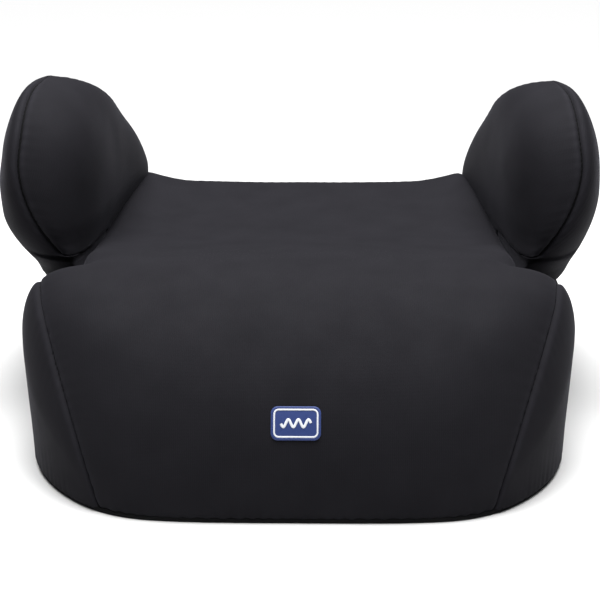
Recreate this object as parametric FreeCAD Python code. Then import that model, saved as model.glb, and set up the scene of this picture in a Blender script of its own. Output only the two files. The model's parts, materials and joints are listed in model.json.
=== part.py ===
import FreeCAD, Part
import math
import os

# Backless booster seat: a moulded shell with two armrests, foam over it and a sewn cover.
# Millimetres, +Z up. The origin is on the floor at the centre of the base; the front faces -Y.
# Shapes are written for the +X side and mirrored for the other one.

V = FreeCAD.Vector

# ---- driving dimensions -------------------------------------------------------------------

# Base in plan
BASE_HALF_W = 189.6         # half width of the covered base at shoulder height
BASE_DRAFT = 5.0            # how much narrower each side is at the floor
SHOULDER_Z = 100.0
NOSE_Y = -60.0              # where the straight sides end and the front corners begin
NOSE_LEN = 157.0            # length of the superellipse that rounds the front corners
NOSE_POWER = 2.25
REAR_Y = 190.0
REAR_CORNER_R = 48.0

# Side profile of the seat
ROLL_Y, ROLL_Z = -70.0, 8.0     # centre of the rounded thigh roll
ROLL_RY, ROLL_RZ = 122.0, 128.0
ROLL_BOW = 9.0                  # how far the front face curves back ...
ROLL_BOW_X = 124.0              # ... at this distance from the middle
ROLL_BOW_POWER = 4
SEAT_LOW_Y, SEAT_LOW_Z = 60.0, 120.0
REAR_EDGE_Z = 129.5
REAR_BOW = 1.5                  # gentle rise of the rear edge, at 100 from the middle
REAR_LIFT = 7.0                 # steeper rise of the rear edge beside the armrests ...
REAR_LIFT_X = 92.0              # ... from this distance from the middle ...
REAR_LIFT_W = 38.0              # ... over this width
REAR_LIFT_POWER = 1.5
BODY_EDGE_R = 24.0
SEAM_INSET = 8.0                # how far in from the walls the gusset seams lie

# Armrests
DECK_Z = 101.3                  # level on which the armrests stand
NECK_Z = 112.0
ARM_TOP_Y, ARM_TOP_Z = 54.0, 241.3
ARM_WIDEST_Z = 150.0
ARM_FRONT_LEN = 84.5            # from the top forward to the tip of the horn
ARM_REAR_LEN = 134.0
ARM_FRONT_POWER, ARM_REAR_POWER = 2.3, 1.3
ARM_REAR_Z = 128.0              # above this height the rear end comes forward
ARM_NECK_LEN = 60.0             # height over which the horn curves back into the neck
ARM_SEAM_X, ARM_SEAM_Z = 198.0, 200.0       # where the front seam stands furthest out
ARM_SEAM_FALL_LOW, ARM_SEAM_FALL_HIGH = 0.0055, 0.0075
ARM_REAR_SEAM_X = 155.0         # the rear seam stands here, and further out at the top
ARM_REAR_SEAM_LIFT = 30.0
ARM_OUT_X, ARM_OUT_Y = 221.5, 30.0          # widest point of the armrest
ARM_OUT_TAPER = 6.0             # how far the outer face comes in ...
ARM_OUT_TAPER_LEN = 130.0       # ... over this length behind the widest point
ARM_FLARE_Z, ARM_FLARE_LEN = 149.0, 57.0    # the outer face flares out below this height
ARM_FLARE_FRONT, ARM_FLARE_REAR = 28.0, 20.0
ARM_IN_Z, ARM_IN_LEN, ARM_IN_BULGE = 104.0, 46.0, 6.0
ARM_CORNER_POWER = 3.2          # squareness of the armrest's plan section
ARM_CROWN_OUT, ARM_CROWN_IN = 2.5, 4.0
CREASE_X = 151.0                # where seat and armrest meet, at its front ...
CREASE_TAPER = 24.0             # ... and how far it comes in at the rear

# Layers
COVER_T = 1.8
GAP = 0.3
SEAT_FOAM_T = 16.0
WALL_FOAM_T = 5.0
ARM_FOAM_T = 6.0
SHELL_T = 3.0

# Belt trough between thigh roll and armrest
TROUGH_Y, TROUGH_Z, TROUGH_R = -36.0, 122.0, 18.0
TROUGH_REAR_Y = -8.7
TROUGH_IN_X = 148.0
GUIDE_T = 2.6
GUIDE_TOP_Z = 113.0
GUIDE_INSET = 14.0              # how far the belt guide stays back from the wall
GUIDE_PEG_R, GUIDE_PEG_LEN = 3.0, 8.0

# Hem and its elastic
HEM_T, HEM_W = 1.8, 22.0
TUNNEL_W, TUNNEL_H, TUNNEL_T = 7.0, 4.6, 0.8

# Shell details
RIB_T, RIB_LOW_Z = 2.2, 78.0
RIB_X = (-80.0, 0.0, 80.0)
RIB_Y = (-70.0, 10.0, 90.0)
BOSS_R, BOSS_LEN = 5.5, 14.0
SCREW_PLACES = ((168.0, 14.0), (165.0, 80.0), (158.0, 146.0))
SCREW_R, SCREW_HEAD_R, SCREW_HEAD_H = 2.0, 4.2, 2.6
SCREW_GRIP = 13.0               # how far the screw enters the armrest

# Front label
LABEL_W, LABEL_H, LABEL_T = 32.0, 22.0, 0.9
LABEL_CORNER_R = 4.0
LABEL_Z = 67.0

FAR = 300.0                     # reach of the cutting blocks
BELOW = -10.0                   # where hollows start, under the floor
BODY_Z0 = HEM_T + GAP           # the body's walls stand on the turned-in hem


# ---- helpers ------------------------------------------------------------------------------

def spline_edge(points):
    curve = Part.BSplineCurve()
    curve.interpolate(points)
    return curve.toShape()


def line_edge(a, b):
    return Part.LineSegment(a, b).toShape()


def box(x0, x1, y0, y1, z0, z1):
    return Part.makeBox(x1 - x0, y1 - y0, z1 - z0, V(x0, y0, z0))


def mirrored(shape):
    return shape.mirror(V(0, 0, 0), V(1, 0, 0))


def tidy(shape):
    """The shape as one solid or a compound of solids, with stray slivers left out."""
    found = [s for s in shape.Solids if s.Volume > 5.0]
    return found[0] if len(found) == 1 else Part.makeCompound(found)


def smooth(t):
    t = min(1.0, max(0.0, t))
    return t * t * (3.0 - 2.0 * t)


def superellipse(t, power):
    """Height of the unit superellipse at t, from 1 in the middle to 0 at its end."""
    return max(0.0, 1.0 - abs(t) ** power) ** (1.0 / power)


# ---- the body: base, thigh roll and seat --------------------------------------------------

def nose_point(angle, half_w, length, z):
    """A point of the rounded front of the base; angle 0 is on the +X side."""
    c, s = math.cos(angle), math.sin(angle)
    x = half_w * math.copysign(abs(c) ** (2.0 / NOSE_POWER), c)
    return V(x, NOSE_Y - length * s ** (2.0 / NOSE_POWER), z)


def plan_wire(inset, z, draft):
    """The base's outline at height z, moved in by inset."""
    half_w = BASE_HALF_W - inset - draft
    length = NOSE_LEN - inset - draft
    rear = REAR_Y - inset
    r = REAR_CORNER_R - inset * 0.5
    corner = r * (1.0 - math.sqrt(0.5))
    nose = [nose_point(math.pi * i / 24, half_w, length, z) for i in range(25)]
    left, right = V(-half_w, rear - r, z), V(half_w, rear - r, z)
    back_left, back_right = V(-half_w + r, rear, z), V(half_w - r, rear, z)
    return Part.Wire([
        spline_edge(nose),
        line_edge(nose[-1], left),
        Part.Arc(left, V(-half_w + corner, rear - corner, z), back_left).toShape(),
        line_edge(back_left, back_right),
        Part.Arc(back_right, V(half_w - corner, rear - corner, z), right).toShape(),
        line_edge(right, nose[0]),
    ])


def plan_solid(inset, z0, z1):
    """The base's outline as a solid from z0 to z1, a little narrower at the floor."""
    wires = [plan_wire(inset, z, BASE_DRAFT * (1.0 - z / SHOULDER_Z)) for z in (z0, z1)]
    return Part.makeLoft(wires, True, True)


def seat_height(x, y):
    """Height of the covered seat behind the crest of the thigh roll."""
    dip = smooth((y - ROLL_Y) / (SEAT_LOW_Y - ROLL_Y))
    rise = smooth((y - SEAT_LOW_Y) / (REAR_Y - SEAT_LOW_Y))
    z = ROLL_Z + ROLL_RZ + dip * (SEAT_LOW_Z - ROLL_Z - ROLL_RZ)
    beside = max(0.0, abs(x) - REAR_LIFT_X) / REAR_LIFT_W
    lift = REAR_BOW * (x / 100.0) ** 2 + REAR_LIFT * min(1.6, beside) ** REAR_LIFT_POWER
    return z + rise * (REAR_EDGE_Z - SEAT_LOW_Z + lift)


def profile_wire(x, inset, z0):
    """Section of the seat at x: thigh roll and seat, closed straight behind and below."""
    ry = ROLL_RY - inset - ROLL_BOW * (x / ROLL_BOW_X) ** ROLL_BOW_POWER
    rz = ROLL_RZ - inset
    start = math.asin((z0 - ROLL_Z) / rz)
    top = []
    for i in range(13):
        a = start + (math.pi / 2 - start) * i / 12
        top.append(V(x, ROLL_Y - ry * math.cos(a), ROLL_Z + rz * math.sin(a)))
    behind = REAR_Y + 25.0
    for i in range(1, 13):
        y = ROLL_Y + (behind - ROLL_Y) * i / 12
        top.append(V(x, y, seat_height(x, min(y, REAR_Y)) - inset))
    corner = V(x, behind, z0)
    return Part.Wire([spline_edge(top), line_edge(top[-1], corner), line_edge(corner, top[0])])


def sheet_solid(inset, z0):
    """Everything below the seat and behind the thigh roll, wider than the base."""
    stations = (-200.0, -165.0, -130.0, -95.0, -50.0, 0.0, 50.0, 95.0, 130.0, 165.0, 200.0)
    return Part.makeLoft([profile_wire(x, inset, z0) for x in stations], True, False)


def upper_edges(shape):
    """The edges along which the seat meets the walls."""
    chosen = []
    for edge in shape.Edges:
        b = edge.BoundBox
        upright = b.XMax - b.XMin < 8.0 and b.YMax - b.YMin < 8.0
        rear_corner = b.ZMax - b.ZMin > 60.0 and b.YMin > 0.0
        if b.ZMax > 20.0 and not upright and not rear_corner:
            chosen.append(edge)
    return chosen


def body_solid(top, wall, z0):
    """The body with its seat lowered by top and its walls moved in by wall."""
    raw = plan_solid(wall, z0, 200.0).common(sheet_solid(top, z0)).removeSplitter()
    return raw.makeFillet(BODY_EDGE_R, upper_edges(raw))


def crease_x(y):
    """Distance from the middle to the line where seat and armrest meet."""
    t = max(0.0, (min(y, REAR_Y) + 15.0) / 200.0)
    return CREASE_X - CREASE_TAPER * t ** 1.9


def arm_zone(clear):
    """What the armrest takes out of the +X side of the body."""
    floor_z = DECK_Z - clear
    y0, y1 = TROUGH_REAR_Y - clear, REAR_Y + 40.0
    ys = [y0 + (y1 - y0) * i / 10 for i in range(11)]
    inner = [V(crease_x(y) - 2.0 - clear, y, floor_z) for y in ys]
    far_back, far_front = V(FAR, y1, floor_z), V(FAR, y0, floor_z)
    outline = Part.Wire([
        spline_edge(inner),
        line_edge(inner[-1], far_back),
        line_edge(far_back, far_front),
        line_edge(far_front, inner[0]),
    ])
    return Part.Face(outline).extrude(V(0, 0, FAR))


def belt_trough(clear):
    """The belt's trough on the +X side, grown by clear."""
    x = TROUGH_IN_X - clear
    r = TROUGH_R + clear
    rear = TROUGH_REAR_Y + clear
    low = TROUGH_Z - r
    slant = r * math.sqrt(0.5)
    front_top = V(x, TROUGH_Y - r, FAR)
    front = V(x, TROUGH_Y - r, TROUGH_Z)
    bottom = V(x, TROUGH_Y, low)
    outline = Part.Wire([
        line_edge(front_top, front),
        Part.Arc(front, V(x, TROUGH_Y - slant, TROUGH_Z - slant), bottom).toShape(),
        line_edge(bottom, V(x, rear, low)),
        line_edge(V(x, rear, low), V(x, rear, FAR)),
        line_edge(V(x, rear, FAR), front_top),
    ])
    return Part.Face(outline).extrude(V(FAR - x, 0, 0))


def envelope(top, wall, z0, clear):
    """A body layer with the room for armrests and belt troughs taken out of it."""
    shape = body_solid(top, wall, z0)
    for cutter in (arm_zone(clear), belt_trough(clear)):
        shape = shape.cut(cutter).cut(mirrored(cutter))
    return shape


# ---- the armrests -------------------------------------------------------------------------

def arm_rise(z, inset):
    """0 below the widest height, 1 at the armrest's top."""
    return max(0.0, (z - ARM_WIDEST_Z) / (ARM_TOP_Z - inset - ARM_WIDEST_Z))


def arm_front(z, rise):
    """Front end (y, x) of the armrest's section, on its seam."""
    if rise > 0.0:
        reach = superellipse(rise, ARM_FRONT_POWER)
    else:
        reach = superellipse((ARM_WIDEST_Z - max(z, NECK_Z)) / ARM_NECK_LEN, 2.0)
    fall = ARM_SEAM_FALL_LOW if z < ARM_SEAM_Z else ARM_SEAM_FALL_HIGH
    x = ARM_SEAM_X - fall * (max(z, NECK_Z) - ARM_SEAM_Z) ** 2
    return ARM_TOP_Y - ARM_FRONT_LEN * reach, x


def arm_rear(z, inset, rise):
    """Rear end (y, x) of the armrest's section, on its seam."""
    x = ARM_REAR_SEAM_X + ARM_REAR_SEAM_LIFT * rise ** 4
    climb = min(1.0, max(0.0, (z - ARM_REAR_Z) / (ARM_TOP_Z - inset - ARM_REAR_Z)))
    return ARM_TOP_Y + ARM_REAR_LEN * superellipse(climb, ARM_REAR_POWER), x


def arm_inner_x(y, z):
    bulge = smooth((z - ARM_IN_Z) / ARM_IN_LEN)
    return crease_x(y) + 4.0 - ARM_IN_BULGE * bulge


def arm_outer_x(y, z):
    back = max(0.0, y - ARM_OUT_Y) / ARM_OUT_TAPER_LEN
    flare = ARM_FLARE_FRONT + (ARM_FLARE_REAR - ARM_FLARE_FRONT) * back
    low = smooth((ARM_FLARE_Z - z) / ARM_FLARE_LEN)
    return ARM_OUT_X - ARM_OUT_TAPER * back ** 1.5 - flare * low


def arm_section(z, inset):
    """Closed plan section of the armrest at height z, shrunk about its middle by inset."""
    rise = arm_rise(z, inset)
    y_front, x_front = arm_front(z, rise)
    y_rear, x_rear = arm_rear(z, inset, rise)
    y_mid = (y_front + y_rear) / 2.0
    x_mid = (arm_outer_x(y_mid, z) + arm_inner_x(y_mid, z)) / 2.0
    shrink_x = 1.0 - inset / (arm_outer_x(y_mid, z) - x_mid)
    shrink_y = 1.0 - 2.0 * inset / (ARM_FRONT_LEN + ARM_REAR_LEN)
    crown_out = math.sqrt(1.0 - rise ** ARM_CROWN_OUT)
    crown_in = 1.0 - rise ** ARM_CROWN_IN
    points = []
    for i in range(28):
        a = 2.0 * math.pi * i / 28
        forward = math.copysign(abs(math.cos(a)) ** 0.75, math.cos(a))
        y = y_mid + (y_front - y_mid) * forward
        seam = x_rear + (x_front - x_rear) * (1.0 + forward) / 2.0
        if math.sin(a) > 0.0:
            reach = (arm_outer_x(y, z) - seam) * crown_out
        else:
            reach = (arm_inner_x(y, z) - seam) * crown_in
        x = seam + reach * superellipse(forward, ARM_CORNER_POWER)
        points.append(V(x_mid + (x - x_mid) * shrink_x, y_mid + (y - y_mid) * shrink_y, z))
    curve = Part.BSplineCurve()
    curve.interpolate(points, True)
    return Part.Wire(curve.toShape())


def arm_solid(inset, z0):
    """The +X armrest from z0 up, with its surface moved in by inset."""
    heights = [z0, 118.0, 128.0, 138.0]
    for part in (0.0, 0.22, 0.44, 0.62, 0.77, 0.88, 0.95, 0.99):
        heights.append(ARM_WIDEST_Z + (ARM_TOP_Z - inset - ARM_WIDEST_Z) * part)
    return Part.makeLoft([arm_section(z, inset) for z in heights], True, False)


def arm_outer_side(shift):
    """The space outboard of the armrest's seam, for parting its two cover panels."""
    front, rear = [], []
    for z in (DECK_Z - 8.0, 120.0, 136.0, 154.0, 174.0, 196.0, 214.0, 228.0, 252.0):
        rise = min(0.97, arm_rise(z, 0.0))
        y_front, x_front = arm_front(min(z, ARM_TOP_Z), rise)
        y_rear, x_rear = arm_rear(min(z, ARM_TOP_Z - 1.0), 0.0, rise)
        slope = (x_front - x_rear) / (y_front - y_rear)
        front.append(V(x_front - slope * 40.0 + shift, y_front - 40.0, z))
        rear.append(V(x_rear + slope * 60.0 + shift, y_rear + 60.0, z))
    seam = Part.makeRuledSurface(spline_edge(front), spline_edge(rear))
    return seam.extrude(V(150.0, 0, 0))


# ---- structure ----------------------------------------------------------------------------

def make_ribs(top, wall):
    """Flat-bottomed grid of ribs under the seat, let one millimetre into the shell."""
    room = envelope(top + 1.0, wall + 1.0, BODY_Z0, GAP + 1.0)
    plates = [box(x - RIB_T / 2, x + RIB_T / 2, -FAR, FAR, RIB_LOW_Z, FAR) for x in RIB_X]
    plates += [box(-FAR, FAR, y - RIB_T / 2, y + RIB_T / 2, RIB_LOW_Z, FAR) for y in RIB_Y]
    grid = plates[0].multiFuse(plates[1:])
    return grid.common(room)


def make_shell(top, wall):
    """The moulded seat shell, open underneath, with ribs and the armrests' screw bosses."""
    shell = envelope(top, wall, BODY_Z0, GAP)
    shell = shell.cut(envelope(top + SHELL_T, wall + SHELL_T, BELOW, GAP + SHELL_T))
    under_deck = DECK_Z - GAP - SHELL_T
    bosses, holes = [], []
    for x, y in SCREW_PLACES:
        for side in (-1.0, 1.0):
            foot = V(side * x, y, under_deck - BOSS_LEN)
            recess = V(side * x, y, under_deck - BOSS_LEN - 1.0)
            bosses.append(Part.makeCylinder(BOSS_R, BOSS_LEN + 1.0, foot))
            holes.append(Part.makeCylinder(SCREW_R + GAP, BOSS_LEN + 10.0, foot))
            holes.append(Part.makeCylinder(SCREW_HEAD_R + GAP, SCREW_HEAD_H + 1.0 + GAP, recess))
    for peg in guide_pegs(GAP):
        holes += [peg, mirrored(peg)]
    shell = shell.multiFuse(bosses + [make_ribs(top, wall)])
    return tidy(shell.cut(holes))


def screw(x, y):
    head_z = DECK_Z - GAP - SHELL_T - BOSS_LEN
    head = Part.makeCylinder(SCREW_HEAD_R, SCREW_HEAD_H, V(x, y, head_z))
    shank_len = DECK_Z + SCREW_GRIP - head_z
    shank = Part.makeCylinder(SCREW_R, shank_len, V(x, y, head_z))
    slot = box(x - 3.0, x + 3.0, y - 0.5, y + 0.5, head_z - 1.0, head_z + 1.2)
    cross = box(x - 0.5, x + 0.5, y - 3.0, y + 3.0, head_z - 1.0, head_z + 1.2)
    return head.fuse(shank).cut(slot).cut(cross)


def make_arm_core(inset):
    """Hollow moulding of the +X armrest with a closed base and screw pillars."""
    outer = arm_solid(inset, DECK_Z)
    hollow = arm_solid(inset + SHELL_T, DECK_Z + SHELL_T)
    pillars, holes = [], []
    for x, y in SCREW_PLACES:
        pillars.append(Part.makeCylinder(BOSS_R, SCREW_GRIP + 3.0, V(x, y, DECK_Z)))
        holes.append(Part.makeCylinder(SCREW_R + GAP, SCREW_GRIP + 1.6, V(x, y, DECK_Z - 1.0)))
    hollow = hollow.cut(pillars)
    return tidy(outer.cut(hollow).cut(holes))


def guide_pegs(clear):
    """Pegs under the +X belt guide that press into the shell."""
    z = TROUGH_Z - TROUGH_R
    r = GUIDE_PEG_R + clear
    return [Part.makeCylinder(r, GUIDE_PEG_LEN, V(x, -24.0, z - GUIDE_PEG_LEN)) for x in (156.0, 168.0)]


def make_guide():
    """Saddle that lines the +X belt trough."""
    keep = plan_solid(GUIDE_INSET, 60.0, 200.0)
    keep = keep.common(box(0.0, FAR, -FAR, TROUGH_REAR_Y - GAP, 60.0, GUIDE_TOP_Z))
    guide = belt_trough(0.0).common(keep).cut(belt_trough(-GUIDE_T))
    guide = guide.cut(box(0.0, FAR, TROUGH_Y, 0.0, TROUGH_Z - TROUGH_R + GUIDE_T, FAR)
                      .cut(box(0.0, TROUGH_IN_X + GUIDE_T, -FAR, FAR, 0.0, FAR)))
    for peg in guide_pegs(0.0):
        guide = guide.fuse(peg)
    return tidy(guide)


# ---- cover --------------------------------------------------------------------------------

def floor_outline(inset, z0, z1):
    """The body's footprint moved in by inset, as a plate from z0 to z1."""
    front = ROLL_Y - ROLL_RY + inset
    plate = Part.Face(plan_wire(inset, z0, BASE_DRAFT)).extrude(V(0, 0, z1 - z0))
    bow = []
    for i in range(-8, 9):
        x = 25.0 * i
        bow.append(V(x, front + ROLL_BOW * (x / ROLL_BOW_X) ** ROLL_BOW_POWER, z0 - 1.0))
    back_left, back_right = V(bow[0].x, FAR, z0 - 1.0), V(bow[-1].x, FAR, z0 - 1.0)
    wire = Part.Wire([
        spline_edge(bow),
        line_edge(bow[-1], back_right),
        line_edge(back_right, back_left),
        line_edge(back_left, bow[0]),
    ])
    return plate.common(Part.Face(wire).extrude(V(0, 0, z1 - z0 + 2.0)))


def make_hem():
    """The cover's turned-in hem with the tunnel for its elastic."""
    foot = floor_outline(0.0, 0.0, HEM_T).cut(floor_outline(HEM_W, -5.0, HEM_T + 5.0))
    z1 = HEM_T + TUNNEL_H
    tunnel = floor_outline(HEM_W - TUNNEL_W, HEM_T, z1).cut(floor_outline(HEM_W, 0.0, z1 + 5.0))
    bore = floor_outline(HEM_W - TUNNEL_W + TUNNEL_T, HEM_T, z1 - TUNNEL_T)
    bore = bore.cut(floor_outline(HEM_W - TUNNEL_T, 0.0, z1 + 5.0))
    return tidy(foot.fuse(tunnel).cut(bore))


def make_elastic():
    t = TUNNEL_T + GAP
    z0, z1 = HEM_T + GAP, HEM_T + TUNNEL_H - t
    band = floor_outline(HEM_W - TUNNEL_W + t, z0, z1)
    return tidy(band.cut(floor_outline(HEM_W - t, z0 - 5.0, z1 + 5.0)))


def body_cover_panels():
    """Seat panel, back panel and +X side panel of the cover."""
    cover = envelope(0.0, 0.0, BODY_Z0, GAP).cut(body_solid(COVER_T, COVER_T, BELOW))
    inner = plan_solid(SEAM_INSET, -5.0, 250.0)
    corner_x = BASE_HALF_W - REAR_CORNER_R
    seat = cover.common(inner)
    band = cover.cut(plan_solid(SEAM_INSET - GAP, -5.0, 250.0))
    back = band.common(box(-corner_x, corner_x, 100.0, FAR, 0.0, FAR))
    sides = band.cut(box(-corner_x - GAP, corner_x + GAP, 100.0, FAR, -5.0, FAR))
    return tidy(seat), tidy(back), tidy(sides.common(box(0.0, FAR, -FAR, FAR, 0.0, FAR)))


def arm_cover_panels():
    """Inner and outer cover panels of the +X armrest."""
    cover = arm_solid(0.0, DECK_Z).cut(arm_solid(COVER_T, DECK_Z - 5.0))
    return (tidy(cover.cut(arm_outer_side(0.0))), tidy(cover.common(arm_outer_side(GAP))))


def make_label():
    """Rounded rectangle that follows the front of the seat panel."""
    angle = math.asin((LABEL_Z - ROLL_Z) / ROLL_RZ)
    centre = V(0, ROLL_Y - ROLL_RY * math.cos(angle), LABEL_Z)
    tilt = math.degrees(math.atan2(math.sin(angle) / ROLL_RZ, math.cos(angle) / ROLL_RY))
    block = box(-LABEL_W / 2, LABEL_W / 2, -15.0, 15.0, -LABEL_H / 2, LABEL_H / 2)
    corners = [e for e in block.Edges if e.BoundBox.YMax - e.BoundBox.YMin > 20.0]
    block = block.makeFillet(LABEL_CORNER_R, corners)
    block.rotate(V(0, 0, 0), V(1, 0, 0), -tilt)
    block.translate(centre)
    return tidy(block.common(sheet_solid(-LABEL_T - GAP, 5.0)).cut(sheet_solid(-GAP, 5.0)))


# ---- all pieces ---------------------------------------------------------------------------

foam_in = COVER_T + GAP
shell_top = foam_in + SEAT_FOAM_T + GAP
shell_wall = foam_in + WALL_FOAM_T + GAP
core_in = foam_in + ARM_FOAM_T + GAP

seat_panel, back_panel, side_panel = body_cover_panels()
inner_panel, outer_panel = arm_cover_panels()
arm_core = make_arm_core(core_in)
arm_foam = tidy(arm_solid(foam_in, DECK_Z).cut(arm_solid(core_in - GAP, DECK_Z - 5.0)))
guide = make_guide()
screws = Part.makeCompound([screw(x, y) for x, y in SCREW_PLACES])

foam_inside = body_solid(shell_top - GAP, shell_wall - GAP, BELOW)
pieces = {
    "seat_shell": make_shell(shell_top, shell_wall),
    "seat_foam": tidy(envelope(foam_in, foam_in, BODY_Z0, GAP).cut(foam_inside)),
    "cover_seat_panel": seat_panel,
    "cover_back_panel": back_panel,
    "cover_hem": make_hem(),
    "hem_elastic": make_elastic(),
    "front_label": make_label(),
}
handed = {
    "armrest_core": arm_core,
    "armrest_foam": arm_foam,
    "armrest_screws": screws,
    "belt_guide": guide,
    "cover_side_panel": side_panel,
    "armrest_inner_panel": inner_panel,
    "armrest_outer_panel": outer_panel,
}
for name, shape in handed.items():
    pieces["right_" + name] = shape
    pieces["left_" + name] = mirrored(shape)

os.makedirs("parts", exist_ok=True)
for name, shape in pieces.items():
    shape.exportStep("parts/" + name + ".step")
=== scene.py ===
import json
import math

import bpy
import numpy as np
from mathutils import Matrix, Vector


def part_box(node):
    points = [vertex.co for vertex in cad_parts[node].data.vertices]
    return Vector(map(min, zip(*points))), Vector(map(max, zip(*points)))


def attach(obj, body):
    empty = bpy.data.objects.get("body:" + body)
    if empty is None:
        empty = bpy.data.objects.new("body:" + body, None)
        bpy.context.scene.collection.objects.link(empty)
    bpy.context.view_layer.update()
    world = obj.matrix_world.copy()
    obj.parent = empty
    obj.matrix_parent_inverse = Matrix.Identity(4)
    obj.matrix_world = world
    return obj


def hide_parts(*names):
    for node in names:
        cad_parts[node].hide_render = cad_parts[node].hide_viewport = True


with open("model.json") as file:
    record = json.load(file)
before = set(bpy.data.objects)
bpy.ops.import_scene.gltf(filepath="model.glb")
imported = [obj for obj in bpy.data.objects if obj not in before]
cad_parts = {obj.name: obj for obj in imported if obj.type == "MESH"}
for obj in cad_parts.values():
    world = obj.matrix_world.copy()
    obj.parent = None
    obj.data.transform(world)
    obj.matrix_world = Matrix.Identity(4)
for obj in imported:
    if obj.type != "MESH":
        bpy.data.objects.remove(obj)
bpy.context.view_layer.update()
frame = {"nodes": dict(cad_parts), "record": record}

# Booster seat in its fitted knitted cover. Shapes are worked out in millimetres on the
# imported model's frame, and turned into metres when a mesh is made.

MM = 0.001


def corners(node):
    lo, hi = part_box(node)
    return np.array(lo) / MM, np.array(hi) / MM


# ---- sizes read from the frame ----

SEAT_LO, SEAT_HI = corners("cover_seat_panel")
SIDE_HI = corners("right_cover_side_panel")[1]
ARM_LO, ARM_HI = corners("right_armrest_outer_panel")
LABEL_LO, LABEL_HI = corners("front_label")

CLOTH_SWELL = -0.2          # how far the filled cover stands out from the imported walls
FRONT_Y = SEAT_LO[1]
REAR_Y = SIDE_HI[1]
CREST_Z = SEAT_HI[2]
BASE_HALF_W = SIDE_HI[0] + CLOTH_SWELL
DECK_Z = ARM_LO[2]
ARM_OUT_X = 221.5           # how far out the armrests' outer faces stand
ARM_REAR_Y = ARM_HI[1]
ARM_TIP_Y = ARM_LO[1]

# ---- the body's shape ----

BASE_DRAFT = 5.0            # the walls lean in by this much at the floor
SHOULDER_Z = 100.0
NOSE_Y, NOSE_LEN, NOSE_POWER = -60.0, 157.0, 2.25       # curved front, in plan
REAR_CORNER_R = 48.0
ROLL_Y, ROLL_Z = -70.0, 8.0                             # middle of the thigh roll's ellipse
ROLL_RY = ROLL_Y - FRONT_Y
ROLL_RZ = CREST_Z - ROLL_Z
ROLL_BOW, ROLL_BOW_X = 9.0, 124.0
SEAT_LOW_Y, SEAT_LOW_Z = 60.0, 120.0
REAR_EDGE_Z = 129.5
REAR_BOW = 1.5
REAR_LIFT, REAR_LIFT_X, REAR_LIFT_W, REAR_LIFT_POWER = 7.0, 92.0, 38.0, 1.5
REAR_TURN = math.radians(43.0)                          # how far the seat panel wraps the rear edge
REAR_RAY_Y, REAR_RAY_Z = REAR_Y - 25.0, REAR_EDGE_Z - 26.0
CREASE_X, CREASE_TAPER = 151.0, 24.0                    # crease between the seat and an armrest
CREASE_OFFSET = 4.0
NOTCH_FRONT_Y = -54.0
PIT_Z = 103.4               # level of the cloth that lines the armrests' feet
PIT_ROUND = 14.0            # width of the round between that cloth and the walls
REAR_ROUND = 22.0           # width of the round between the seat and the rear wall
FLOOR_GAP = 1.4             # the panels end this far above the floor, on the hem
SEAM_X, SEAM_LEAN, SEAM_CURVE = 129.0, 0.27, 0.00095    # seam on the front, as seen from ahead
SEAM_SHOULDER = 13.5        # how far inside the wall that seam runs over the shoulder
FRONT_SEAM_X = 127.5        # where the side panel starts at the floor
REACH = 200.0               # length of a ray that surely leaves the body


def smooth(t):
    t = np.clip(t, 0.0, 1.0)
    return t * t * (3.0 - 2.0 * t)


def smax(a, b, k):
    """Larger of a and b, rounded over a width k."""
    return np.maximum(a, b) + np.maximum(k - np.abs(a - b), 0.0) ** 2 / (4.0 * k)


def wall_depth(x, y, z):
    """How far a point lies inside the side walls, in plan."""
    draft = BASE_DRAFT * (1.0 - np.clip(z, 0.0, 130.0) / SHOULDER_Z)
    half_w, length = BASE_HALF_W - draft, NOSE_LEN - draft
    u = np.abs(x) / half_w + 1e-9
    v = np.maximum(NOSE_Y - y, 0.0) / length
    g = (u ** NOSE_POWER + v ** NOSE_POWER) ** (1.0 / NOSE_POWER)
    slope = np.hypot((u / g) ** (NOSE_POWER - 1) / half_w, (v / g) ** (NOSE_POWER - 1) / length)
    r = REAR_CORNER_R
    dx, dy = np.abs(x) - (half_w - r), y - (REAR_Y - r)
    rear = r - np.hypot(np.maximum(dx, 0.0), np.maximum(dy, 0.0)) - np.minimum(np.maximum(dx, dy), 0.0)
    return np.where(y < NOSE_Y, (1.0 - g) / slope, rear)


def seat_height(x, y):
    """Height of the seat behind the thigh roll: a dip, then a rise to the rear edge and corners."""
    dip = smooth((y - ROLL_Y) / (SEAT_LOW_Y - ROLL_Y))
    rise = smooth((y - SEAT_LOW_Y) / (REAR_Y - SEAT_LOW_Y))
    z = CREST_Z + dip * (SEAT_LOW_Z - CREST_Z)
    beside = np.clip((np.abs(x) - REAR_LIFT_X) / REAR_LIFT_W, 0.0, 1.6)
    lift = REAR_BOW * (x / 100.0) ** 2 + REAR_LIFT * beside ** REAR_LIFT_POWER
    return z + rise * (REAR_EDGE_Z - SEAT_LOW_Z + lift)


def sheet_depth(x, y, z):
    """How far a point lies below the seat or behind the thigh roll."""
    ry = ROLL_RY - ROLL_BOW * (x / ROLL_BOW_X) ** 4
    u, v = (ROLL_Y - y) / ry, (z - ROLL_Z) / ROLL_RZ
    g = np.hypot(u, v) + 1e-9
    roll = (1.0 - g) / (np.hypot(u / ry, v / ROLL_RZ) / g)
    return np.where(y < ROLL_Y, roll, seat_height(x, y) - z)


def crease_x(y):
    """How far from the middle the crease beside an armrest lies; it comes in towards the rear."""
    t = np.clip((y + 15.0) / 200.0, 0.0, 1.1)
    return CREASE_X - CREASE_TAPER * t ** 1.9


def cut_depth(x, y, z):
    """How far a point lies from the notch and the armrest's foot."""
    dx, dy = np.abs(x) - crease_x(y) - CREASE_OFFSET, y - NOTCH_FRONT_Y
    outside = np.hypot(np.minimum(dx, 0.0), np.minimum(dy, 0.0))
    below = np.where(dy < 0.0, np.maximum(PIT_Z - z, 0.0), 0.0)
    return np.hypot(outside, below) - np.maximum(np.minimum(dx, dy), 0.0)


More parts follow.
